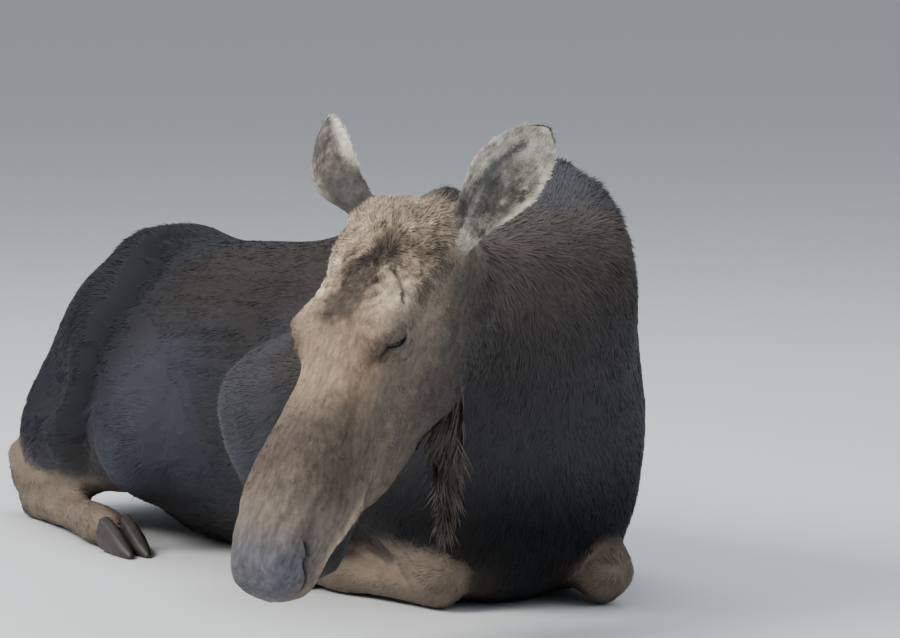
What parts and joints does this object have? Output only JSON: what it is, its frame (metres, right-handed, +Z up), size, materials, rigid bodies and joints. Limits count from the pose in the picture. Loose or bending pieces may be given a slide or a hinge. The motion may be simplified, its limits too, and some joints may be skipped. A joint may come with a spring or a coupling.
{
  "type": "moose",
  "caption": "Young moose without antlers lying on its breast with folded legs, head lowered and turned to its right, at life size.",
  "frame": {"origin": "centre of the model's outline on the floor plane it lies on", "axes": "+X forward along the back, the way the breast points; +Y to the animal's left; +Z up. The head is turned to the animal's right"},
  "size_m": [1.849, 1.0862, 0.8578],
  "materials": {
    "body_coat": "dense straight winter hair, faint sheen",
    "neck_coat": "long coarse hair",
    "face_coat": "short flat hair",
    "ear_coat": "short woolly hair",
    "bell_coat": "long hanging hair",
    "leg_coat": "short flat hair",
    "hoof": "dull horn",
    "eye": "wet and glossy"
  },
  "bodies": {
    "root": {"trunk": "body_coat", "neck": "neck_coat", "head": "face_coat", "lower_jaw": "face_coat", "ear_left": "ear_coat", "ear_right": "ear_coat", "eye_left": "eye", "eye_right": "eye", "tail": "body_coat", "bell": "bell_coat", "foreleg_left": "leg_coat", "foreleg_right": "leg_coat", "hindleg_left": "leg_coat", "hindleg_right": "leg_coat", "claw_foreleg_right_outer": "hoof", "claw_foreleg_right_inner": "hoof", "claw_foreleg_left_outer": "hoof", "claw_foreleg_left_inner": "hoof", "claw_hindleg_right_outer": "hoof", "claw_hindleg_right_inner": "hoof", "claw_hindleg_left_outer": "hoof", "claw_hindleg_left_inner": "hoof"}
  },
  "joints": []
}
